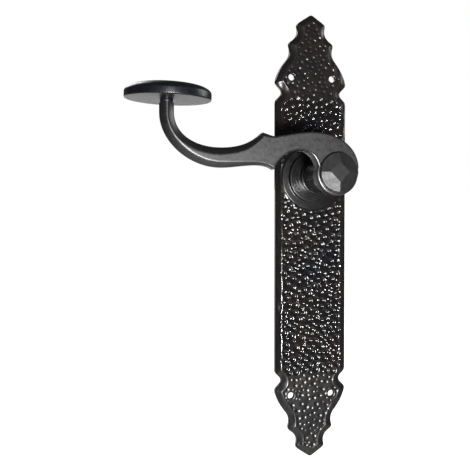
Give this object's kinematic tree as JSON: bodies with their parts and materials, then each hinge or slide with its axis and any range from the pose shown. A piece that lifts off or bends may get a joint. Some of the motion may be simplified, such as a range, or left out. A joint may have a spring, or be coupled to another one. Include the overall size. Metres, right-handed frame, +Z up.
{
  "type": "door lever handle",
  "caption": "Rustic black door lever on a long hammered backplate: an arched arm with a faceted head, a hooked end and a round thumb disc, turning on a sprung spindle.",
  "frame": {"origin": "on the spindle's axis, in the plane of the door's face, which is the backplate's back face", "axes": "+Z up along the backplate, -Y out of the door towards the user, +Y into the door; the lever points to -X"},
  "size_m": [0.1549, 0.1163, 0.3],
  "materials": {
    "plate_paint": "glossy black paint on a hammered casting",
    "rosette_paint": "semi-gloss black paint on turned metal",
    "lever_paint": "satin black paint, rubbed brighter along its edges",
    "disc_paint": "satin black paint",
    "bush_brass": "turned brass",
    "zinc_steel": "zinc plated",
    "spring_steel": "drawn spring wire",
    "black_steel": "blackened steel",
    "nylon": "natural nylon"
  },
  "bodies": {
    "plate_assembly": {"backplate": "plate_paint", "rosette": "rosette_paint", "guide_collar": "rosette_paint", "bearing_bush": "bush_brass", "rosette_locknut": "zinc_steel", "rosette_dowels": "zinc_steel", "stop_pins": "zinc_steel", "return_spring": "spring_steel", "spring_cover": "zinc_steel", "cover_screws": "zinc_steel"},
    "lever_assembly": {"lever": "lever_paint", "head_cap": "lever_paint", "spindle": "zinc_steel", "grub_screw": "black_steel", "spring_driver": "zinc_steel", "thrust_washer": "nylon", "spring_washer": "spring_steel", "retaining_ring": "black_steel", "thumb_disc": "disc_paint", "disc_stud": "lever_paint"}
  },
  "joints": [
    {"name": "lever_turn", "type": "hinge", "parent": "plate_assembly", "child": "lever_assembly", "pos_m": [0, 0, 0], "axis": [0, -1, 0], "range_deg": [0, 40], "stiffness_Nm_per_rad": 1.2, "springref_deg": -28.65, "deforming": ["return_spring"]}
  ]
}
